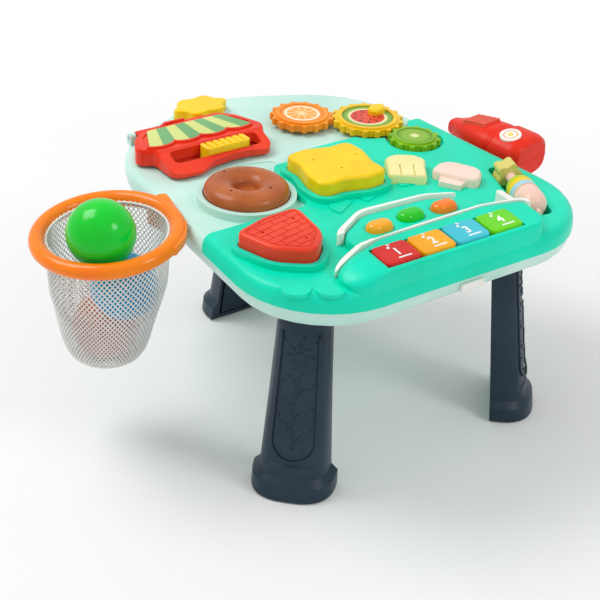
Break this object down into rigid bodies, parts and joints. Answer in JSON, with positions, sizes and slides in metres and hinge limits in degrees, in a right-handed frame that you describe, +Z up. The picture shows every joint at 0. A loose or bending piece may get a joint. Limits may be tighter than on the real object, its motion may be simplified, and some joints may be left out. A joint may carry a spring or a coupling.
{
  "type": "activity walker",
  "caption": "Toddler activity table on three legs with spinning gears, lift-out shape blocks, piano keys, light buttons, a roller, a flap door, a ball hoop with net and a toy handset.",
  "frame": {"origin": "on the floor under the middle of the whole toy's outer box", "axes": "+X along the row of piano keys towards the handset, +Y away from the player at the keys, +Z up"},
  "size_m": [0.4937, 0.3854, 0.2413],
  "materials": {
    "mint_shell": "soft gloss mint plastic",
    "turquoise_deck": "soft gloss turquoise plastic",
    "white_trim": "gloss white plastic",
    "orange_plastic": "gloss orange plastic",
    "yellow_plastic": "gloss yellow plastic",
    "kiwi_plastic": "gloss kiwi green plastic",
    "label_print": "printed film",
    "brown_plastic": "gloss brown plastic",
    "red_plastic": "gloss red plastic",
    "amber_plastic": "gloss amber plastic",
    "blue_plastic": "gloss blue plastic",
    "green_plastic": "gloss green plastic",
    "lime_plastic": "gloss lime plastic",
    "cream_plastic": "gloss cream plastic",
    "peach_plastic": "gloss peach plastic",
    "coral_plastic": "gloss coral plastic",
    "awning_light": "pale green plastic",
    "awning_green": "sage green plastic",
    "navy_plastic": "satin navy plastic",
    "steel": "zinc plated steel",
    "soft_grip": "soft grey rubber",
    "net": "white mesh netting",
    "board": "green circuit board",
    "dark_plastic": "black plastic",
    "cell_wrap": "plain cell wrap",
    "lamp": "clear lamp resin"
  },
  "bodies": {
    "root": {"base_tray": "mint_shell", "deck_cover": "turquoise_deck", "trim_upper": "white_trim", "trim_lower": "white_trim", "hinge_pin": "steel", "window_print": "label_print", "hoop_ring": "orange_plastic", "net_bag": "net", "phone_cradle": "turquoise_deck", "leg_front_left": "navy_plastic", "leg_front_right": "navy_plastic", "leg_back": "navy_plastic", "leg_inner_covers": "navy_plastic", "foot_pads": "soft_grip", "underside_plate": "mint_shell", "battery_door": "mint_shell", "batteries": "cell_wrap", "speaker": "dark_plastic", "circuit_board": "board", "lights": "lamp", "screws": "steel"},
    "yellow_gear_body": {"yellow_gear": "yellow_plastic", "melon_disc": "label_print", "leaf_knob": "yellow_plastic"},
    "orange_gear_body": {"orange_gear": "orange_plastic", "orange_disc": "label_print"},
    "kiwi_gear_body": {"kiwi_gear": "kiwi_plastic", "kiwi_disc": "label_print"},
    "donut_body": {"donut_block": "brown_plastic"},
    "cookie_body": {"cookie_block": "yellow_plastic"},
    "berry_body": {"berry_block": "red_plastic"},
    "key_red_body": {"key_red": "red_plastic"},
    "key_amber_body": {"key_amber": "amber_plastic"},
    "key_blue_body": {"key_blue": "blue_plastic"},
    "key_green_body": {"key_green": "lime_plastic"},
    "fruit_yellow_body": {"fruit_yellow": "amber_plastic"},
    "fruit_green_body": {"fruit_green": "green_plastic"},
    "fruit_orange_body": {"fruit_orange": "orange_plastic"},
    "popsicle_body": {"popsicle_button": "cream_plastic"},
    "mushroom_body": {"mushroom_button": "peach_plastic"},
    "cloud_body": {"cloud_button": "yellow_plastic"},
    "shop_door": {"shop_frame": "red_plastic", "awning_light": "awning_light", "awning_green": "awning_green"},
    "shop_slider_body": {"shop_slider": "yellow_plastic"},
    "ball_coral_body": {"ball_coral": "coral_plastic"},
    "ball_blue_body": {"ball_blue": "blue_plastic"},
    "ball_green_body": {"ball_green": "green_plastic"},
    "handset": {"phone_body": "red_plastic", "phone_badge": "white_trim", "phone_ribs": "peach_plastic"},
    "roller": {"roller_body": "peach_plastic", "roller_star": "cream_plastic", "roller_lime_band": "lime_plastic", "roller_yellow_band": "yellow_plastic", "roller_blue_band": "blue_plastic"},
    "switch_body": {"power_switch": "red_plastic"}
  },
  "joints": [
    {"name": "yellow_gear_spin", "type": "hinge", "parent": "root", "child": "yellow_gear_body", "pos_m": [0.12754, 0.0653, 0.21], "axis": [0, 0, 1], "continuous": true},
    {"name": "orange_gear_spin", "type": "hinge", "parent": "root", "child": "orange_gear_body", "pos_m": [0.07744, 0.1017, 0.21], "axis": [0, 0, 1], "continuous": true},
    {"name": "kiwi_gear_spin", "type": "hinge", "parent": "root", "child": "kiwi_gear_body", "pos_m": [0.14064, 0.01073, 0.21], "axis": [0, 0, 1], "continuous": true},
    {"name": "donut_lift", "type": "slide", "parent": "root", "child": "donut_body", "axis": [0, 0, 1], "range_m": [0, 0.05]},
    {"name": "cookie_lift", "type": "slide", "parent": "root", "child": "cookie_body", "axis": [0, 0, 1], "range_m": [0, 0.05]},
    {"name": "berry_lift", "type": "slide", "parent": "root", "child": "berry_body", "axis": [0, 0, 1], "range_m": [0, 0.05]},
    {"name": "key_red_press", "type": "slide", "parent": "root", "child": "key_red_body", "axis": [0, 0, 1], "range_m": [-0.002, 0], "stiffness_N_per_m": 200, "springref_m": 0.0025},
    {"name": "key_amber_press", "type": "slide", "parent": "root", "child": "key_amber_body", "axis": [0, 0, 1], "range_m": [-0.002, 0], "stiffness_N_per_m": 200, "springref_m": 0.0025},
    {"name": "key_blue_press", "type": "slide", "parent": "root", "child": "key_blue_body", "axis": [0, 0, 1], "range_m": [-0.002, 0], "stiffness_N_per_m": 200, "springref_m": 0.0025},
    {"name": "key_green_press", "type": "slide", "parent": "root", "child": "key_green_body", "axis": [0, 0, 1], "range_m": [-0.002, 0], "stiffness_N_per_m": 200, "springref_m": 0.0025},
    {"name": "fruit_yellow_press", "type": "slide", "parent": "root", "child": "fruit_yellow_body", "axis": [0, 0, 1], "range_m": [-0.0018, 0], "stiffness_N_per_m": 200, "springref_m": 0.0025},
    {"name": "fruit_green_press", "type": "slide", "parent": "root", "child": "fruit_green_body", "axis": [0, 0, 1], "range_m": [-0.0018, 0], "stiffness_N_per_m": 200, "springref_m": 0.0025},
    {"name": "fruit_orange_press", "type": "slide", "parent": "root", "child": "fruit_orange_body", "axis": [0, 0, 1], "range_m": [-0.0018, 0], "stiffness_N_per_m": 200, "springref_m": 0.0025},
    {"name": "popsicle_press", "type": "slide", "parent": "root", "child": "popsicle_body", "axis": [0, 0, 1], "range_m": [-0.0014, 0], "stiffness_N_per_m": 300, "springref_m": 0.002},
    {"name": "mushroom_press", "type": "slide", "parent": "root", "child": "mushroom_body", "axis": [0, 0, 1], "range_m": [-0.0014, 0], "stiffness_N_per_m": 300, "springref_m": 0.002},
    {"name": "cloud_press", "type": "slide", "parent": "root", "child": "cloud_body", "axis": [0, 0, 1], "range_m": [-0.0025, 0], "stiffness_N_per_m": 200, "springref_m": 0.003},
    {"name": "shop_door_lift", "type": "hinge", "parent": "root", "child": "shop_door", "pos_m": [-0.04146, 0.1428, 0.21], "axis": [-1, 0, 0], "range_deg": [0, 75]},
    {"name": "shop_slider_slide", "type": "slide", "parent": "shop_door", "child": "shop_slider_body", "axis": [1, 0, 0], "range_m": [-0.0295, 0.0105]},
    {"name": "ball_coral_lift", "type": "slide", "parent": "root", "child": "ball_coral_body", "axis": [0, 0, 1], "range_m": [0, 0.16]},
    {"name": "ball_blue_lift", "type": "slide", "parent": "ball_coral_body", "child": "ball_blue_body", "axis": [0, 0, 1], "range_m": [0, 0.1]},
    {"name": "ball_green_lift", "type": "slide", "parent": "ball_blue_body", "child": "ball_green_body", "axis": [0, 0, 1], "range_m": [0, 0.08]},
    {"name": "handset_lift", "type": "slide", "parent": "root", "child": "handset", "axis": [0, 0, 1], "range_m": [0, 0.08]},
    {"name": "roller_spin", "type": "hinge", "parent": "root", "child": "roller", "pos_m": [0.15504, -0.1172, 0.212], "axis": [0.3551, 0.9348, 0], "continuous": true},
    {"name": "switch_slide", "type": "slide", "parent": "root", "child": "switch_body", "axis": [1, 0, 0], "range_m": [-0.0045, 0.0045]}
  ],
  "couplings": [
    {"joint": "orange_gear_spin", "follows": "yellow_gear_spin", "ratio": -1.1333},
    {"joint": "kiwi_gear_spin", "follows": "yellow_gear_spin", "ratio": -1.4167}
  ]
}
